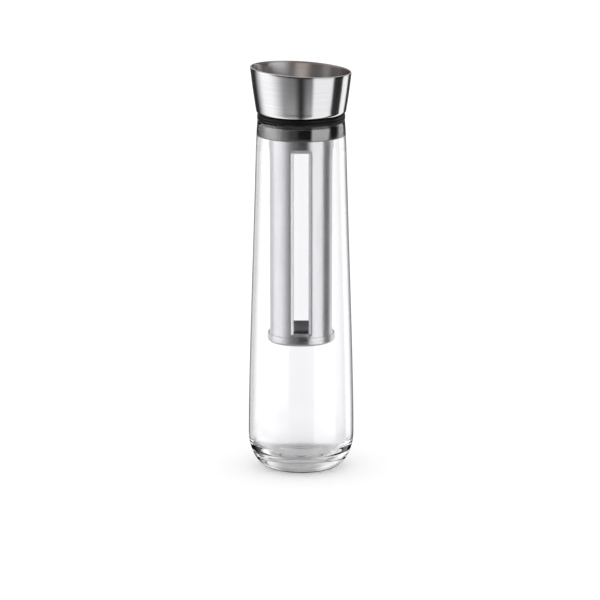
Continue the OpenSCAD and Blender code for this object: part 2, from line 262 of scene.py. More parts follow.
def pierced_plate(name, radius, holes, low, high, ease=0.00015):
    """Flat round plate with round holes (x, y, radius), its edges slightly eased."""
    curve = bpy.data.curves.new(name, "CURVE")
    curve.dimensions = "2D"
    curve.fill_mode = "BOTH"
    curve.extrude = (high - low) / 2 - ease
    curve.bevel_depth = ease
    curve.bevel_resolution = 1
    curve.offset = -ease
    for x, y, r, steps in [(0, 0, radius, ROUND_STEPS)] + [(*hole, HOLE_STEPS) for hole in holes]:
        spline = curve.splines.new("POLY")
        spline.points.add(steps - 1)
        spline.use_cyclic_u = True
        for point, a in zip(spline.points, evenly(0, TURN, steps)):
            point.co = (x + r * math.cos(a), y + r * math.sin(a), 0, 1)
    holder = bpy.data.objects.new(name + "_outline", curve)
    bpy.context.scene.collection.objects.link(holder)
    bpy.context.view_layer.update()
    mesh = bpy.data.meshes.new_from_object(holder.evaluated_get(bpy.context.evaluated_depsgraph_get()))
    bpy.data.objects.remove(holder)
    bpy.data.curves.remove(curve)
    bm = bmesh.new()
    bm.from_mesh(mesh)
    bpy.data.meshes.remove(mesh)
    bmesh.ops.remove_doubles(bm, verts=bm.verts, dist=1e-6)
    bmesh.ops.translate(bm, verts=bm.verts, vec=(0, 0, (low + high) / 2))
    return new_piece(name, bm, 28.0)


def hexagon_of_holes(rings, pitch, radius):
    """Centres and radius of a hexagonal field of holes."""
    span = range(-rings, rings + 1)
    cells = [(q, p) for q in span for p in span if abs(q + p) <= rings]
    return [(pitch * (q + p / 2), pitch * p * math.sin(TURN / 6), radius) for q, p in cells]


def add_rod(bm, radius, span, centre, ease=SOFT, bore=0.0):
    """Adds a rod, or a tube where bore is given, lying along Y."""
    half = span / 2
    outside = [(radius, -half, ease), (radius, half, ease)]
    if bore > 0:
        outline = eased([(bore, -half, ease)] + outside + [(bore, half, ease)], 2)
    else:
        outline = [(0.0, -half)] + eased(outside + [(0.0, half)], 2)[:-1] + [(0.0, half)]

    def place(r, a, y):
        return Vector((r * math.cos(a), y, r * math.sin(a))) + centre

    revolve(bm, outline, place, evenly(0, TURN, SMALL_STEPS)[:-1])


def add_block(bm, low, high, ease=0.0004):
    """Adds a block with eased edges."""
    low, high = Vector(low), Vector(high)
    verts = bmesh.ops.create_cube(bm, size=1.0)["verts"]
    bmesh.ops.scale(bm, vec=high - low, verts=verts)
    bmesh.ops.translate(bm, vec=(low + high) / 2, verts=verts)
    edges = list({e for v in verts for e in v.link_edges})
    bmesh.ops.bevel(bm, geom=edges, offset=ease, segments=2, profile=0.5, affect="EDGES")


# Materials

# Radius at which the lines drawn up the tube have their spacing
GRAIN_RADIUS = 0.025
LINT_COLOUR = (0.2, 0.2, 0.21, 1.0)


class Wiring:
    """Short ways to add nodes to a material, a world or a node group."""

    # The first value's socket and the result's socket of a Mix node, by what it mixes
    MIX_SOCKETS = {"FLOAT": (2, 0), "RGBA": (6, 2)}

    def __init__(self, tree):
        self.tree = tree

    def node(self, kind, *values, **settings):
        """A new node with its first inputs fed in order."""
        made = self.tree.nodes.new(kind)
        for key, value in settings.items():
            setattr(made, key, value)
        for socket, value in zip(made.inputs, values):
            self.feed(value, socket)
        return made

    def feed(self, value, socket):
        """Links a node's output to a socket, or sets the socket to a plain value."""
        if isinstance(value, bpy.types.NodeSocket):
            self.tree.links.new(value, socket)
        else:
            socket.default_value = value

    def fill(self, node, values):
        """Feeds a node's inputs by name."""
        for name, value in values.items():
            self.feed(value, node.inputs[name])

    def maths(self, operation, *values):
        return self.node("ShaderNodeMath", *values, operation=operation).outputs[0]

    def vector(self, *values):
        return self.node("ShaderNodeCombineXYZ", *values).outputs[0]

    def split(self, vector):
        return self.node("ShaderNodeSeparateXYZ", vector).outputs

    def noise(self, vector, scale, detail=2.0, roughness=0.5, distortion=0.0):
        made = self.node("ShaderNodeTexNoise")
        self.fill(made, {"Vector": vector, "Scale": scale, "Detail": detail})
        self.fill(made, {"Roughness": roughness, "Distortion": distortion})
        return made.outputs["Fac"]

    def spread(self, value, low, high, to_low, to_high, soft=False):
        """Spreads what lies between low and high over the range from to_low to to_high."""
        made = self.node("ShaderNodeMapRange", interpolation_type="SMOOTHSTEP" if soft else "LINEAR")
        self.fill(made, {"Value": value, "From Min": low, "From Max": high})
        self.fill(made, {"To Min": to_low, "To Max": to_high})
        return made.outputs["Result"]

    def mixed(self, factor, a, b, kind="RGBA"):
        first, result = self.MIX_SOCKETS[kind]
        made = self.node("ShaderNodeMix", factor, data_type=kind)
        self.feed(a, made.inputs[first])
        self.feed(b, made.inputs[first + 1])
        return made.outputs[result]

    def place(self):
        return self.node("ShaderNodeTexCoord").outputs["Object"]

    def group(self, name, make):
        """A node group, made on first use."""
        return self.node("ShaderNodeGroup", node_tree=bpy.data.node_groups.get(name) or make(name))

    def after(self, depth, first, later):
        """The first shader for a ray, and the later one once it has met a surface of that kind."""
        met = self.maths("GREATER_THAN", self.node("ShaderNodeLightPath").outputs[depth], 0.5)
        return self.node("ShaderNodeMixShader", met, first, later).outputs[0]


def group_of(name, inputs, outputs):
    """A node group with nothing in it yet, and its wiring. An input is a vector where its default is None."""
    tree = bpy.data.node_groups.new(name, "ShaderNodeTree")
    for label, default in inputs.items():
        kind = "NodeSocketVector" if default is None else "NodeSocketFloat"
        socket = tree.interface.new_socket(name=label, in_out="INPUT", socket_type=kind)
        if default is not None:
            socket.default_value = default
    for label in outputs:
        tree.interface.new_socket(name=label, in_out="OUTPUT", socket_type="NodeSocketFloat")
    w = Wiring(tree)
    return tree, w, w.node("NodeGroupInput").outputs, w.node("NodeGroupOutput").inputs


def drawn_grain(name):
    """Fine parallel lines in steel: fast across the grain, slow along it."""
    inputs = {"Along": None, "Across": 0.0, "Lines per metre": 3000.0, "Streaks per metre": 300.0, "Run": 25}
    tree, w, given, out = group_of(name, inputs, ("Tone", "Height", "Smudge"))
    slow = w.node("ShaderNodeVectorMath", given["Along"], operation="SCALE")
    w.feed(given["Run"], slow.inputs["Scale"])
    first, second, _ = w.split(slow.outputs[0])

    def lines(density, detail, roughness, distortion=0.0, scale=1.0):
        across = w.maths("MULTIPLY", given["Across"], density)
        return w.noise(w.vector(first, second, across), scale, detail, roughness, distortion)

    fine = lines(given["Lines per metre"], 2.0, 0.6)
    streak = lines(given["Streaks per metre"], 3.0, 0.6)
    tone = w.maths("ADD", w.maths("MULTIPLY", fine, 0.55), w.maths("MULTIPLY", streak, 0.45))
    w.feed(w.spread(tone, 0.32, 0.68, 0.0, 1.0), out["Tone"])
    w.feed(w.maths("ADD", fine, w.maths("MULTIPLY", streak, 0.6)), out["Height"])
    w.feed(lines(given["Run"], 4.0, 0.55, distortion=0.4, scale=1.3), out["Smudge"])
    return tree


def moulded_skin(name):
    """Fine pebbled skin of a moulding, with broad soft change and specks of lint."""
    inputs = {"Vector": None, "Pebbles per metre": 2500.0, "Lint": 0.5}
    tree, w, given, out = group_of(name, inputs, ("Cloud", "Height", "Lint"))
    vector = given["Vector"]
    w.feed(w.noise(vector, 45.0, 3.0, 0.55), out["Cloud"])
    w.feed(w.noise(vector, given["Pebbles per metre"], 1.0), out["Height"])
    specks = w.node("ShaderNodeTexVoronoi")
    w.fill(specks, {"Vector": vector, "Scale": 420.0})
    dot = w.spread(specks.outputs["Distance"], 0.05, 0.13, 1.0, 0.0)
    rare = w.spread(w.noise(vector, 160.0, 1.0), 0.56, 0.66, 0.0, 1.0)
    w.feed(w.maths("MULTIPLY", w.maths("MULTIPLY", dot, rare), given["Lint"]), out["Lint"])
    return tree


def start_material(name):
    """A new material with its Principled shader, as (material, wiring, shader)."""
    material = bpy.data.materials.new(name)
    material.use_nodes = True
    tree = material.node_tree
    return material, Wiring(tree), tree.nodes["Principled BSDF"]


def bump(w, shader, height, strength, distance):
    made = w.node("ShaderNodeBump")
    w.fill(made, {"Strength": strength, "Distance": distance, "Height": height})
    w.feed(made.outputs[0], shader.inputs["Normal"])


def four(rgb, factor=1.0):
    """A colour, made lighter or darker by the factor, with full alpha."""
    return (*(min(1.0, c * factor) for c in rgb), 1.0)


def blown_glass(name, tint):
    """Clear soda glass with the faint waviness of a blown wall."""
    material, w, shader = start_material(name)
    place = w.place()
    tone = w.mixed(w.noise(place, 30.0), four(tint), four(tint, 1.012))
    rough = w.spread(w.noise(place, 55.0, 4.0, 0.6), 0.62, 0.8, 0.0, 0.035)
    w.fill(shader, {"Base Color": tone, "Roughness": rough, "IOR": 1.51, "Transmission Weight": 1.0})
    bump(w, shader, w.noise(place, 26.0, 1.0, 0.4), strength=0.1, distance=0.0006)
    return material


def brushed_steel(name, rgb, roughness, run="round", anisotropy=0.0, turned_grain=0.0, relief=0.05):
    """Steel with a grain. run is round for lines round the axis, and along for lines drawn up the tube."""
    material, w, shader = start_material(name)
    x, y, z = w.split(w.place())
    grain = w.group("drawn_grain", drawn_grain)
    w.fill(grain, {"Lines per metre": 5200.0, "Streaks per metre": 900.0})
    if run == "round":
        w.fill(grain, {"Along": w.vector(x, y), "Across": z, "Run": 22.0})
    else:
        around = w.maths("MULTIPLY", w.maths("ARCTAN2", y, x), GRAIN_RADIUS)
        w.fill(grain, {"Along": w.vector(z), "Across": around, "Run": 14.0})
    tone = grain.outputs["Tone"]
    handled = w.spread(grain.outputs["Smudge"], 0.45, 0.75, 0.0, 0.09)
    base = w.mixed(handled, w.mixed(tone, four(rgb, 0.93), four(rgb, 1.05)), four(rgb, 0.82))
    rough = w.spread(tone, 0.0, 1.0, roughness + 0.02, roughness - 0.02)
    rough = w.maths("ADD", rough, w.maths("MULTIPLY", handled, 0.5))
    w.fill(shader, {"Base Color": base, "Roughness": rough, "Metallic": 1.0})
    if anisotropy > 0:
        tangent = w.node("ShaderNodeTangent", direction_type="RADIAL", axis="Z").outputs[0]
        w.fill(shader, {"Anisotropic": anisotropy, "Anisotropic Rotation": turned_grain, "Tangent": tangent})
    bump(w, shader, grain.outputs["Height"], relief, distance=0.00003)
    return material


def moulded(name, rgb, roughness, relief, specular=0.5, pebbles=1500.0, lint=0.0, ior=1.5):
    """Black silicone or plastic with a moulded skin."""
    material, w, shader = start_material(name)
    skin = w.group("moulded_skin", moulded_skin)
    w.fill(skin, {"Vector": w.place(), "Pebbles per metre": pebbles, "Lint": lint})
    cloud, specks = skin.outputs["Cloud"], skin.outputs["Lint"]
    base = w.mixed(specks, w.mixed(cloud, four(rgb, 0.85), four(rgb, 1.2)), LINT_COLOUR)
    rough = w.spread(cloud, 0.3, 0.7, roughness - 0.03, roughness + 0.05)
    rough = w.maths("ADD", rough, w.maths("MULTIPLY", specks, 0.3))
    w.fill(shader, {"Base Color": base, "Roughness": rough, "Specular IOR Level": specular, "IOR": ior})
    bump(w, shader, skin.outputs["Height"], relief, distance=0.00004)
    return material


def finish(name):
    """The material of that name, made on first use."""
    if name in bpy.data.materials:
        return bpy.data.materials[name]
    scene = bpy.context.scene
    head, tube = scene.pitcher_head, scene.pitcher_infuser
    recipes = {
        "blown_glass": (blown_glass, scene.pitcher_carafe.tint, {}),
        "collar_steel": (brushed_steel, head.steel, dict(roughness=0.15, anisotropy=0.5, turned_grain=0.25)),
        "tube_steel": (brushed_steel, tube.steel, dict(roughness=0.24, anisotropy=0.35, run="along")),
        "plate_steel": (brushed_steel, tube.steel, dict(roughness=0.26)),
        "ground_steel": (brushed_steel, head.steel, dict(roughness=0.14, relief=0.02)),
        "seal_silicone": (moulded, head.rubber, dict(roughness=0.3, specular=0.25, relief=0.02, lint=0.08)),
        "sleeve_silicone": (moulded, head.rubber, dict(roughness=0.06, specular=0.76, relief=0.01, ior=2.4)),
        "core_plastic": (moulded, head.plastic, dict(roughness=0.38, relief=0.12, pebbles=3200, lint=0.5)),
    }
    make, rgb, settings = recipes[name]
    return make(name, rgb, **settings)


def dress(piece, material, slot, body, *nodes):
    """Gives a piece its finish and its body, and hides the CAD nodes that it stands for."""
    piece.data.materials.append(finish(material))
    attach(piece, body)
    if nodes:
        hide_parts(*nodes)


# Pieces

# How every building step runs
OPTIONS = {"REGISTER", "UNDO"}
# Clearances
REST_GAP, CORE_GAP, FLAP_GAP, PIN_FIT = 0.0003, 0.0002, 0.0008, 0.00005
# How far two meshes of one piece overlap, and the least gap between two faces
OVERLAP, HAIR = 0.0003, 0.00002


def cone_radius(head, z):
    return head.foot_radius + (head.rim_radius - head.foot_radius) * (z - head.foot_height) / head.height


# Steps along the curves of the glass
HEEL_STEPS, SIDE_STEPS, NECK_STEPS, THROAT_STEPS, LIP_STEPS, PUNT_STEPS = 22, 40, 14, 10, 14, 12
# Shares of the lengths that those curves follow
SIDE_LOW, SIDE_HIGH, NECK_BEND, NECK_KEEP, THROAT_BEND = 0.225, 0.31, 0.43, 0.83, 0.4
STAND_EASE = 0.0012


class PITCHER_OT_carafe(bpy.types.Operator):
    """Build the glass body"""

    bl_idname = "pitcher.carafe"
    bl_label = "Glass body"
    bl_options = OPTIONS

    def execute(self, context):
        c = context.scene.pitcher_carafe
        base, shoulder, mouth = c.base_radius, c.shoulder_radius, c.mouth_radius
        foot = base - c.heel_width
        low, high = c.heel_height, c.shoulder_height
        lip = c.wall / 2
        top = c.height - lip
        straight = high - low
        slope = (base - shoulder) / straight

        def heel(width, height, z):
            turns = evenly(0, TURN / 4, HEEL_STEPS)
            return [(foot + width * math.sin(a), z + height * (1 - math.cos(a))) for a in turns]

        def side(inset):
            wall = bend(
                (base, low),
                (base, low + SIDE_LOW * straight),
                (shoulder + slope * SIDE_HIGH * straight, high - SIDE_HIGH * straight),
                (shoulder, high),
                SIDE_STEPS,
            )
            return [(r - inset, z) for r, z in wall[1:]]

        neck = top - high
        outside = bend(
            (shoulder, high),
            (shoulder - slope * neck * NECK_BEND, high + neck * NECK_BEND),
            (mouth + (shoulder - mouth) * NECK_BEND, high + neck * NECK_KEEP),
            (mouth, top),
            NECK_STEPS,
        )[1:]
        inner, bore, throat = shoulder - c.wall, mouth - c.wall, c.throat_height
        pull = (throat - high) * THROAT_BEND
        first, second = (inner - slope * pull, high + pull), (bore, throat - pull)
        inside = bend((inner, high), first, second, (bore, throat), THROAT_STEPS)
        inside = inside[1:] + [(bore, z) for z in evenly(throat, top, 5)[1:]]
        rim = arc((mouth - lip, top), lip, 0, 180, LIP_STEPS)[1:-1]
        shares = evenly(0, 1, PUNT_STEPS)[:-1]
        punt = [(c.punt_radius * share, c.punt_depth * (1 - share**2)) for share in shares]
        stand = eased([(0, 0), (c.punt_radius, 0, STAND_EASE), (foot, 0)])[1:-1]
        outline = punt + [p for p in stand if p[0] > c.punt_radius]
        outline += heel(c.heel_width, c.heel_height, 0.0) + side(0.0) + outside + rim
        outline += inside[::-1] + side(c.wall)[::-1]
        outline += heel(c.heel_width - c.wall, c.heel_height - c.floor, c.floor)[::-1]
        outline += [(r, c.floor) for r in evenly(foot, 0, 6)[1:]]
        glass = turned("carafe_body", outline, FINE_STEPS, sharp=60.0)
        dress(glass, "blown_glass", "clear_glass", "carafe", "carafe_glass")
        return {"FINISHED"}


# The rounded rim: steps inwards from the outside and outwards from the inside, each with its drop
RIM_OUTSIDE = (0.00007, 0.0005), (0.00013, 0.00024), (0.00028, 0.00007)
RIM_INSIDE = (0.00012, 0.0), (0.00004, 0.00004), (0.0, 0.00012)
COLLAR_STEPS = 16


class PITCHER_OT_collar(bpy.types.Operator):
    """Build the spun steel pouring collar"""

    bl_idname = "pitcher.collar"
    bl_label = "Pouring collar"
    bl_options = OPTIONS

    def execute(self, context):
        h = context.scene.pitcher_head
        rise = (h.rim_radius - h.foot_radius) / h.height
        curl_z = h.foot_height + h.curl
        centre = (cone_radius(h, curl_z) - h.curl, curl_z)
        rim_z = h.foot_height + h.height
        tilt = math.tan(h.rim_tilt)
        floor_z = h.foot_height + h.sheet

        def outline(a):
            lean = math.cos(a) * tilt
            top = (rim_z - (h.foot_radius - rise * h.foot_height) * lean) / (1 + rise * lean)
            wall = []
            for share in evenly(0, 1, COLLAR_STEPS)[1:-1]:
                z = curl_z + (top - curl_z) * share
                wall.append((cone_radius(h, z) + 4 * h.belly * share * (1 - share), z))
            out_top = cone_radius(h, top)
            in_top = out_top - h.sheet
            roll = [(out_top - inwards, top - drop) for inwards, drop in RIM_OUTSIDE]
            roll.append(((out_top + in_top) / 2, top))
            roll += [(in_top + outwards, top - drop) for outwards, drop in RIM_INSIDE]
            inner = [(r - h.sheet, z) for r, z in wall[::-1]]
            curl = arc(centre, h.curl, -90, 0, 10)
            inner_curl = arc(centre, h.curl - h.sheet, 0, -90, 10)
            start, end = (h.hole_radius, h.foot_height), (h.hole_radius, floor_z)
            return [start] + curl + wall + roll + inner + inner_curl + [end]

        collar = turned("pouring_collar", outline, FINE_STEPS, sharp=50.0)
        dress(collar, "collar_steel", "brushed_steel", "pouring_head", "pour_collar")
        return {"FINISHED"}


# How far the sleeve goes into the glass that it presses on, and how much narrower its waist is
SLEEVE_BITE, WAIST_IN = 0.00006, 0.0007
SHOULDER_EASE = 0.0004


class PITCHER_OT_seals(bpy.types.Operator):
    """Build the ribbed rim seal and the sleeve in the neck"""

    bl_idname = "pitcher.seals"
    bl_label = "Seals"
    bl_options = OPTIONS

    def execute(self, context):
        h, c = context.scene.pitcher_head, context.scene.pitcher_carafe
        low, high = c.height + REST_GAP, h.foot_height
        rib = (high - low) / 4
        x = h.seal_radius - rib
        ribs = arc((x, low + rib), rib, -90, 80, 12) + arc((x, high - rib), rib, -80, 90, 12)
        seal = turned("rim_seal_ring", [(h.skirt_radius, low)] + ribs + [(h.skirt_radius, high)])
        dress(seal, "seal_silicone", "black_silicone", "pouring_head", "rim_seal")

        foot, shoulder = h.sleeve_foot, c.height - h.sleeve_shoulder
        grip = c.mouth_radius - c.wall + SLEEVE_BITE
        inside, waist = h.skirt_radius, grip - WAIST_IN
        outline = [(inside, foot), (grip, foot, ROUND), (grip, shoulder, SHOULDER_EASE), (inside, shoulder)]
        sleeve = turned("neck_sleeve", eased(outline))
        dress(sleeve, "sleeve_silicone", "black_silicone", "pouring_head", "neck_seal")
        outline = [(inside, shoulder), (waist, shoulder), (waist, low, SOFT), (inside, low)]
        dress(turned("sleeve_waist", eased(outline)), "seal_silicone", "black_silicone", "pouring_head")
        return {"FINISHED"}


# The flap that the core makes room for, and the core's dished top
BARREL_RADIUS, DISC_SHEET = 0.0022, 0.0007
DISH_RISE, BORE_EASE, FOOT_EASE = 0.0033, 0.0008, 0.0001
# The ledge under the flap: how far it stands in, its height at the wall and at its edge, and half of its arc
LEDGE_WIDTH, LEDGE_ROOT, LEDGE_EDGE, LEDGE_ANGLE = 0.0022, 0.0038, 0.0016, math.radians(64)


class PITCHER_OT_core(bpy.types.Operator):
    """Build the stopper core, with the bore, the dished top and the flap's ledge"""

    bl_idname = "pitcher.core"
    bl_label = "Stopper core"
    bl_options = OPTIONS

    def execute(self, context):
        h = context.scene.pitcher_head
        floor_z = h.foot_height + h.sheet
        dish = h.pin_height + BARREL_RADIUS + DISC_SHEET + FLAP_GAP
        edge = dish + DISH_RISE
        low_z = floor_z + h.curl
        gap = h.sheet + CORE_GAP
        low_r, high_r = cone_radius(h, low_z) - gap, cone_radius(h, edge) - gap
        outline = [
            (h.bore_radius, h.socket_height), (h.bore_radius, dish, BORE_EASE), (high_r, edge, SOFT),
            (low_r, low_z), (low_r - h.curl, floor_z), (h.skirt_radius, floor_z, FOOT_EASE),
            (h.skirt_radius, h.sleeve_foot, SOFT), (h.socket_radius, h.sleeve_foot, ROUND),
            (h.socket_radius, h.socket_height),
        ]
        core = turned("core_body", eased(outline))
        dress(core, "core_plastic", "black_plastic", "pouring_head", "stopper_core")

        seat = h.pin_height + BARREL_RADIUS - REST_GAP
        root, brink = h.bore_radius + OVERLAP, h.bore_radius - LEDGE_WIDTH
        outline = [(root, seat - LEDGE_ROOT), (root, seat)]
        outline += [(brink, seat, SOFT), (brink, seat - LEDGE_EDGE, SOFT)]
        ledge = turned("core_ledge", eased(outline), SMALL_STEPS, -LEDGE_ANGLE, 2 * LEDGE_ANGLE)
        dress(ledge, "core_plastic", "black_plastic", "pouring_head")
        return {"FINISHED"}


STRAINER_SHEET = 0.0008


class PITCHER_OT_strainer(bpy.types.Operator):
    """Build the perforated strainer plate"""

    bl_idname = "pitcher.strainer"
    bl_label = "Strainer"
    bl_options = OPTIONS

    def execute(self, context):
        h = context.scene.pitcher_head
        holes = hexagon_of_holes(rings=3, pitch=0.0048, radius=0.0015)
        low = h.socket_height - STRAINER_SHEET
        plate = pierced_plate("strainer_plate", h.socket_radius, holes, low, h.socket_height)
        dress(plate, "plate_steel", "satin_steel", "pouring_head", "strainer")
        return {"FINISHED"}


# The pin, how deep each of its ends sits in the core, and the barrel on it
PIN_RADIUS, PIN_SEAT, BARREL_LENGTH = 0.0012, 0.0019, 0.032
# The studs that snap into the disc, and how far to each side they stand
STUD_RADIUS, STUD_SIDE = 0.0015, 0.0075
# Half width and half length of the carrier's plate and of its web, and their heights above the pin
PLATE_HALF, PLATE_FOOT = (0.0055, 0.012), 0.0013
WEB_HALF, WEB_FOOT, WEB_TOP = (0.0012, 0.008), -0.006, -0.0018
# The weight, the radius of the sleeve round it, and how far they hang below the pin
WEIGHT_RADIUS, WEIGHT_LENGTH, WEIGHT_SLEEVE, WEIGHT_DROP = 0.0032, 0.016, 0.0044, 0.0082


class PITCHER_OT_flap(bpy.types.Operator):
    """Build the pouring flap: pin, disc, carrier and weight"""

    bl_idname = "pitcher.flap"
    bl_label = "Pouring flap"
    bl_options = OPTIONS

    def execute(self, context):
        h = context.scene.pitcher_head
        x, z = -h.pin_back, h.pin_height
        axis = Vector((x, 0, z))
        half = math.sqrt(h.bore_radius**2 - h.pin_back**2) + PIN_SEAT
        bm = bmesh.new()
        add_rod(bm, PIN_RADIUS, 2 * half, axis)
        dress(new_piece("hinge_pin", bm), "ground_steel", "bright_steel", "pouring_head", "flap_pin")

        low, high, radius = DISC_BOX[0].z, DISC_BOX[1].z, DISC_BOX[1].x
        studs = [(x, side * STUD_SIDE, STUD_RADIUS) for side in (-1, 1)]
        disc = pierced_plate("flap_plate", radius, studs, low, high)
        dress(disc, "plate_steel", "satin_steel", "flap", "flap_disc")

        bm = bmesh.new()
        hung = axis - Vector((0, 0, WEIGHT_DROP))
        add_rod(bm, BARREL_RADIUS, BARREL_LENGTH, axis, bore=PIN_RADIUS + PIN_FIT)
        wide, far = PLATE_HALF
        add_block(bm, (x - wide, -far, z + PLATE_FOOT), (x + wide, far, low))
        wide, far = WEB_HALF
        add_block(bm, (x - wide, -far, z + WEB_FOOT), (x + wide, far, z + WEB_TOP), CRISP)
        add_rod(bm, WEIGHT_SLEEVE, WEIGHT_LENGTH, hung, bore=WEIGHT_RADIUS)
        for stud_x, stud_y, r in studs:
            size = dict(radius1=r, radius2=r, depth=high - low)
            made = bmesh.ops.create_cone(bm, cap_ends=True, segments=STUD_STEPS, **size)
            bmesh.ops.translate(bm, verts=made["verts"], vec=(stud_x, stud_y, (low + high) / 2))
        dress(new_piece("flap_holder", bm), "core_plastic", "black_plastic", "flap", "flap_carrier")

        bm = bmesh.new()
        add_rod(bm, WEIGHT_RADIUS, WEIGHT_LENGTH, hung, ease=ROUND)
        dress(new_piece("flap_weight_rod", bm), "ground_steel", "bright_steel", "flap", "flap_weight")
        return {"FINISHED"}


# The foot cup: the flat ring round its pierced floor, and how far that floor laps over it
CUP_SEAM, FLOOR_LAP, FLOOR_EASE = 0.003, 0.0006, 0.00012
# The ring on the tube: its inner lip, its groove, and the sealing ring that lies in the groove
RING_LIP, RING_EASE, GROOVE = 0.001, 0.0006, 0.0008
WIRE_RADIUS, WIRE_IN = 0.0009, 0.00075


class PITCHER_OT_infuser(bpy.types.Operator):
    """Build the slotted infuser tube, its foot, ring and sealing ring"""

    bl_idname = "pitcher.infuser"
    bl_label = "Infuser"
    bl_options = OPTIONS

    def execute(self, context):
        t = context.scene.pitcher_infuser
        dress(slotted_tube(t), "tube_steel", "satin_steel", "infuser", "infuser_tube")

        low, high, thin = CUP_BOX[0].z, CUP_BOX[1].z, t.sheet
        wall, corner = t.radius + thin, t.cup_corner
        seam = wall - corner - CUP_SEAM
        centre = (wall - corner, low + corner)
        cup = [(seam, low)] + arc(centre, corner, -90, 0, 10)
        cup += [(wall, high, CRISP), (t.radius + HAIR, high, CRISP)]
        cup += arc(centre, corner - thin, 0, -90, 10) + [(seam, low + thin)]
        dress(turned("foot_cup", eased(cup)), "plate_steel", "satin_steel", "infuser", "infuser_foot")
        holes = hexagon_of_holes(rings=2, pitch=0.008, radius=0.002)
        under, over = low + HAIR, low + thin - HAIR
        floor = pierced_plate("foot_floor", seam + FLOOR_LAP, holes, under, over, FLOOR_EASE)
        dress(floor, "plate_steel", "satin_steel", "infuser")

        low, high, out = RING_BOX[0].z, RING_BOX[1].z, RING_BOX[1].x
        inside = t.radius - t.sheet - RING_LIP
        middle = (low + high) / 2
        throat = math.sqrt(WIRE_RADIUS**2 - WIRE_IN**2)
        deep = out - GROOVE
        outline = [
            (t.radius, low, SOFT), (out, low, RING_EASE), (out, middle - throat), (deep, middle - throat),
            (deep, middle + throat), (out, middle + throat), (out, high, RING_EASE),
            (inside, high, ROUND), (inside, t.top_height, CRISP), (t.radius, t.top_height),
        ]
        ring = turned("infuser_ring_body", eased(outline))
        dress(ring, "core_plastic", "black_plastic", "infuser", "infuser_ring")
        wire = turned("infuser_seal", arc((out - WIRE_IN, middle), WIRE_RADIUS, 0, 345, 23))
        dress(wire, "seal_silicone", "black_silicone", "infuser", "infuser_oring")
        return {"FINISHED"}


class Sheet:
    """Bent steel sheet, laid out by arc length and height and wrapped on a tube."""

    def __init__(self, radius):
        self.bm = bmesh.new()
        self.lean = self.bm.verts.layers.float_vector.new("lean")
        self.radius = radius

    def point(self, s, z, sunk=0.0, tilt=0.0, way=(0.0, 0.0)):
        """Point at arc length s and height z, sunk below the wall, its normal tilted against a given way."""
        a = s / self.radius
        out = Vector((math.cos(a), math.sin(a), 0))
        side = Vector((-math.sin(a), math.cos(a), 0))
        vert = self.bm.verts.new(out * (self.radius - sunk) + Vector((0, 0, z)))
        vert[self.lean] = out * math.cos(tilt) - (side * way[0] + Vector((0, 0, way[1]))) * math.sin(tilt)
        return vert

    def join(self, rows, closed):
        """Faces between rows that have the same number of points."""
        for a, b in zip(rows, rows[1:]):
            for i in range(len(a) if closed else len(a) - 1):
                j = (i + 1) % len(a)
                self.bm.faces.new((a[i], a[j], b[j], b[i]))

    def wall(self, columns, heights):
        self.join([[self.point(s, z) for z in heights] for s in columns], False)

    def thicken(self, thin):
        """Adds the inner side of the sheet and its bare edges."""
        bm = self.bm
        bmesh.ops.remove_doubles(bm, verts=bm.verts, dist=1e-6)
        faces = list(bm.faces)
        edges = [e for e in bm.edges if len(e.link_faces) == 1]
        inner = {}
        for vert in list(bm.verts):
            inner[vert] = bm.verts.new(vert.co - vert[self.lean] * thin)
            inner[vert][self.lean] = -vert[self.lean]
        for face in faces:
            bm.faces.new([inner[v] for v in reversed(face.verts)])
        for edge in edges:
            a, b = edge.verts
            bm.faces.new((a, b, inner[b], inner[a]))


def smoothed(piece):
    """Shades a sheet by the normals that it was laid out with, except on its bare edges."""
    mesh = piece.data
    lean = mesh.attributes["lean"].data
    normals = [None] * len(mesh.loops)
    for face in mesh.polygons:
        for k in face.loop_indices:
            meant = Vector(lean[mesh.loops[k].vertex_index].vector)
            normals[k] = meant if face.normal.dot(meant) > 0.7 else face.normal.copy()
    mesh.normals_split_custom_set(normals)
    mesh.attributes.remove(mesh.attributes["lean"])
    return piece


# The rounding of a slot's corners, the steel laid out round it, and the band of that next to its edge
SLOT_CORNER, SLOT_MARGIN, SLOT_BAND = 0.0032, 0.004, 0.0007
# The share of a lip's width over which it bends, and the shares where it has a row of points
KNEE = 0.22
LIP_SHARES = 0.0, 0.07, 0.15, KNEE, 0.6, 1.0
# Steps round a slot's corner, and across the steel between two slots
CORNER_STEPS, BETWEEN_STEPS = 8, 10


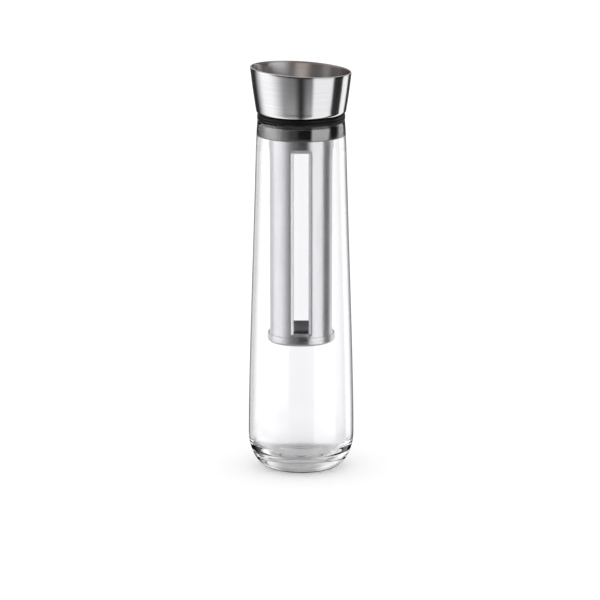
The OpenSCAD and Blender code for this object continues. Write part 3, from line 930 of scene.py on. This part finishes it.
def slotted_tube(t):
    """The tube as one sheet, with a lip turned in round each slot."""
    sheet = Sheet(t.radius)
    edge_angle = math.asin(t.slot_width / 2 / t.radius)
    half = edge_angle * t.radius
    corner, margin = SLOT_CORNER, SLOT_MARGIN
    side_turn, end_turn = t.lip_turn + edge_angle, t.lip_turn
    top, foot = t.slot_high - corner, t.slot_low + corner
    quarters = (1, 1, top), (-1, 1, top), (-1, -1, foot), (1, -1, foot)
    pitch = TURN * t.radius / t.slots

    def slot_edge(grow):
        """Rounded edge of a slot, moved outwards by grow, as (s, z, outward s, outward z)."""
        ring = []
        for quarter, (side, _, centre_z) in enumerate(quarters):
            for share in evenly(0, 1, CORNER_STEPS):
                a = TURN / 4 * (quarter + share)
                s = side * (half - corner) + (corner + grow) * math.cos(a)
                ring.append((s, centre_z + (corner + grow) * math.sin(a), math.cos(a), math.sin(a)))
        return ring

    def frame_edge():
        """Rectangle round a slot, with one point for each point of the slot's edge."""
        ring = []
        for side, way, centre_z in quarters:
            for share in evenly(0, 1, CORNER_STEPS) if side == way else evenly(1, 0, CORNER_STEPS):
                s = side * (half - corner + (margin + corner) * min(1.0, 2 * (1 - share)))
                ring.append((s, centre_z + way * (margin + corner) * min(1.0, 2 * share)))
        return ring

    frame = frame_edge()
    band = [(s, z) for s, z, _, _ in slot_edge(SLOT_BAND)]
    halfway = [((s + band_s) / 2, (z + band_z) / 2) for (s, z), (band_s, band_z) in zip(frame, band)]
    for k in range(t.slots):
        mid = pitch * k
        rows = [[sheet.point(mid + s, z) for s, z in edge] for edge in (frame, halfway, band)]
        for share in LIP_SHARES:
            row = []
            for s, z, ds, dz in slot_edge(0.0):
                turn = side_turn * ds * ds + end_turn * dz * dz
                tilt = turn * min(1.0, share / KNEE)
                bent, flat = t.slot_lip * min(share, KNEE), t.slot_lip * max(0.0, share - KNEE)
                run = bent * math.cos(tilt / 2) + flat * math.cos(turn)
                sunk = bent * math.sin(tilt / 2) + flat * math.sin(turn)
                row.append(sheet.point(mid + s - ds * run, z - dz * run, sunk, tilt, (ds, dz)))
            rows.append(row)
        sheet.join(rows, True)

    across = sorted({s for s, z in frame if z > t.slot_high + margin / 2})
    heights = sorted({z for s, z in frame if s > half + margin / 2})
    gap = pitch - 2 * (half + margin)
    columns = []
    for k in range(t.slots):
        start = pitch * k + half + margin
        between = evenly(start, start + gap, BETWEEN_STEPS)
        sheet.wall(between, heights)
        columns += [pitch * k + s for s in across] + between[1:-1]
    columns.append(columns[0] + TURN * t.radius)
    sheet.wall(columns, evenly(t.foot_height, heights[0], 2))
    sheet.wall(columns, evenly(heights[-1], t.top_height, 4))
    sheet.thicken(t.sheet)
    return smoothed(new_piece("slotted_tube", sheet.bm))


class PITCHER_OT_studio(bpy.types.Operator):
    """Set up the floor, the light and the camera"""

    bl_idname = "pitcher.studio"
    bl_label = "Studio"
    bl_options = OPTIONS

    def execute(self, context):
        scene = context.scene
        s = scene.pitcher_studio
        scene.view_settings.view_transform = "Standard"
        scene.view_settings.look = "None"
        build_floor(s)
        build_light(scene)
        aim = Vector((s.aim_side, 0, s.aim_height))
        back = Vector((0, -math.cos(s.elevation), math.sin(s.elevation)))
        data = bpy.data.cameras.new("camera")
        data.lens, data.sensor_width = s.lens, 36.0
        data.clip_start, data.clip_end = 0.05, 60.0
        camera = bpy.data.objects.new("camera", data)
        scene.collection.objects.link(camera)
        camera.location = aim + back * s.distance
        camera.rotation_mode = "QUATERNION"
        camera.rotation_quaternion = (-back).to_track_quat("-Z", "Y")
        scene.camera = camera
        return {"FINISHED"}


# Half of the floor's side, and how far it lies below the pitcher's foot
FLOOR_HALF = 12.0
FLOOR_DROP = 0.00005


def build_floor(s):
    """Pale paper that runs on far behind the pitcher; polished metal sees the lights in its place."""
    bm = bmesh.new()
    bmesh.ops.create_grid(bm, x_segments=24, y_segments=24, size=FLOOR_HALF)
    bmesh.ops.translate(bm, verts=bm.verts, vec=(0, 0, -FLOOR_DROP))
    floor = new_piece("paper_floor", bm)
    material, w, shader = start_material("paper")
    tone = w.mixed(w.noise(w.place(), 900.0), four(s.paper, 0.985), four(s.paper))
    w.fill(shader, {"Base Color": tone, "Roughness": 0.9, "Specular IOR Level": 0.1})
    w.fill(shader, {"Emission Color": WHITE, "Emission Strength": 0.27})
    clear = w.node("ShaderNodeBsdfTransparent")
    out = material.node_tree.nodes["Material Output"]
    w.feed(w.after("Glossy Depth", shader.outputs[0], clear.outputs[0]), out.inputs["Surface"])
    floor.data.materials.append(material)


# Soft boxes and cards round the pitcher, in degrees from the camera towards +X: where each one starts, is at
# full strength, leaves off and ends
KEY = -140, -100, -84, -24
KEY_HEART = -134, -100, -86, -50
KEY_WIDE = -175, -125, -90, -20
LEFT_CARD = -50, -28, -21, 0
RIGHT_CARD = 0, 20, 26, 31
LEFT_REST = -64, -50, -36, -22
FRONT_CARD = -32, -8, 4, 22
SIDE = 25, 33, 79, 86
SIDE_WIDE = 18, 48, 60, 90
STRIP = 113, 118, 138, 143
STRIP_WIDE = 110, 128, 138, 168
BACK_LEFT = -172, -152, -138, -118
WARM_CARD = -85, -20, 10, 34
# What stands at each height: the dim surround, its gain right behind the pitcher, and the boxes' strengths
LOW_DOWN = 0.03, 0.0, ((KEY, 1.42), (LEFT_CARD, 0.48), (RIGHT_CARD, 0.52), (SIDE, 1.3), (STRIP, 1.33))
BELOW = 0.03, 0.0, ((KEY, 1.42), (LEFT_CARD, 0.2), (RIGHT_CARD, 0.2), (SIDE, 1.25), (STRIP, 1.33))
LEVEL_WITH_IT = 0.01, 0.1, ((KEY_HEART, 1.6), (LEFT_REST, 0.1), (SIDE, 0.9), (STRIP, 1.2))
JUST_ABOVE = 0.16, 0.0, ((KEY_HEART, 0.2), (FRONT_CARD, 0.42), (SIDE_WIDE, 0.64))
ABOVE = 0.24, 0.8, ((KEY, 0.2), (SIDE_WIDE, 0.26))
OVERHEAD = 0.25, 0.35, ((KEY_WIDE, 1.05), (STRIP_WIDE, 0.9))
THROUGH_GLASS = 0.03, 0.4, ((KEY, 1.45), (LEFT_CARD, 0.16), (SIDE, 1.35), (STRIP_WIDE, 1.0), (BACK_LEFT, 0.7))
BEHIND_FROM = 125
# Degrees above the horizon between which one of those sets gives way to the next
TO_JUST_ABOVE, TO_ABOVE = (0.2, 1.6), (7.5, 9)
CHANGES = (-28.5, -24), (-13.7, -12.9), TO_JUST_ABOVE, TO_ABOVE, (34, 44)
# The warm card's colour, how much of it the wall above the card has, and where that ends
WARM = (1.0, 0.83, 0.72, 1.0)
WARM_ABOVE = 0.6
WARM_ENDS = 30, 40
# Even light below and above the set that is seen through glass
GLASS_LOW, GLASS_HIGH = 0.55, 0.5
FROM_GLASS_LOW = -34, -20
TO_GLASS_HIGH = 30, 50


def build_light(scene):
    """A white surround, with soft boxes and cards that show only in reflections and through glass."""
    world = bpy.data.worlds.new("surround")
    scene.world = world
    world.use_nodes = True
    world.cycles.sampling_method = "NONE"
    scene.cycles.max_bounces = 24
    scene.cycles.glossy_bounces = 16
    scene.cycles.transmission_bounces = 24
    tree = world.node_tree
    w = Wiring(tree)
    x, y, z = w.split(w.node("ShaderNodeTexCoord").outputs["Generated"])
    around = w.maths("ARCTAN2", x, w.maths("MULTIPLY", y, -1.0))
    behind = w.spread(w.maths("ABSOLUTE", around), math.radians(BEHIND_FROM), math.pi, 0.0, 1.0, soft=True)
    shapes = {}

    def shape(box):
        """One soft box: full in its middle, with soft ends."""
        if box not in shapes:
            starts, full, leaves, ends = (math.radians(edge) for edge in box)
            rise = w.spread(around, starts, full, 0.0, 1.0, soft=True)
            fall = w.spread(around, leaves, ends, 1.0, 0.0, soft=True)
            shapes[box] = w.maths("MULTIPLY", rise, fall)
        return shapes[box]

    def lights(dim, gain_behind, boxes):
        """Everything that stands round the pitcher at one height."""
        total = w.maths("MULTIPLY_ADD", behind, gain_behind, dim)
        for box, strength in boxes:
            total = w.maths("MULTIPLY_ADD", shape(box), strength, total)
        return total

    def change(heights, below, above):
        """One level below the first height and another above the second, with an even change between."""
        low, high = (math.sin(math.radians(height)) for height in heights)
        return w.mixed(w.spread(z, low, high, 0.0, 1.0), below, above, "FLOAT")

    level = lights(*LOW_DOWN)
    for heights, above in zip(CHANGES, (BELOW, LEVEL_WITH_IT, JUST_ABOVE, ABOVE, OVERHEAD)):
        level = change(heights, level, lights(*above))
    warm = change(TO_JUST_ABOVE, 0.0, shape(WARM_CARD))
    warm = change(WARM_ENDS, change(TO_ABOVE, warm, WARM_ABOVE), 0.0)
    inner = change(TO_GLASS_HIGH, lights(*THROUGH_GLASS), GLASS_HIGH)
    inner = change(FROM_GLASS_LOW, GLASS_LOW, inner)

    reflected = w.node("ShaderNodeBackground", w.mixed(warm, WHITE, WARM), level)
    through = w.node("ShaderNodeBackground", WHITE, inner)
    studio = w.after("Transmission Depth", reflected.outputs[0], through.outputs[0])
    white = tree.nodes["Background"]
    w.fill(white, {"Color": WHITE, "Strength": 1.0})
    w.feed(w.after("Glossy Depth", white.outputs[0], studio), tree.nodes["World Output"].inputs["Surface"])


# The add-on

STEPS = ("studio", "carafe", "collar", "seals", "core", "strainer", "flap", "infuser")
SETTINGS = {
    "pitcher_carafe": CarafeSettings,
    "pitcher_head": HeadSettings,
    "pitcher_infuser": InfuserSettings,
    "pitcher_studio": StudioSettings,
}


class PITCHER_PT_panel(bpy.types.Panel):
    """Lists what the add-on builds, and the settings"""

    bl_label = "Pitcher"
    bl_idname = "PITCHER_PT_panel"
    bl_space_type = "VIEW_3D"
    bl_region_type = "UI"
    bl_category = "Pitcher"

    def draw(self, context):
        column = self.layout.column(align=True)
        for step in STEPS:
            column.operator("pitcher." + step)
        for name in SETTINGS:
            group = getattr(context.scene, name)
            part = self.layout.box()
            for prop in group.__annotations__:
                part.prop(group, prop)


CLASSES = (
    *SETTINGS.values(), PITCHER_OT_carafe, PITCHER_OT_collar, PITCHER_OT_seals, PITCHER_OT_core,
    PITCHER_OT_strainer, PITCHER_OT_flap, PITCHER_OT_infuser, PITCHER_OT_studio, PITCHER_PT_panel,
)


def register():
    for item in CLASSES:
        bpy.utils.register_class(item)
    for name, group in SETTINGS.items():
        setattr(bpy.types.Scene, name, bpy.props.PointerProperty(type=group))


def unregister():
    for name in SETTINGS:
        delattr(bpy.types.Scene, name)
    for item in reversed(CLASSES):
        bpy.utils.unregister_class(item)


def main():
    register()
    for step in STEPS:
        getattr(bpy.ops.pitcher, step)()
    bpy.context.view_layer.update()


if __name__ == "__main__":
    main()
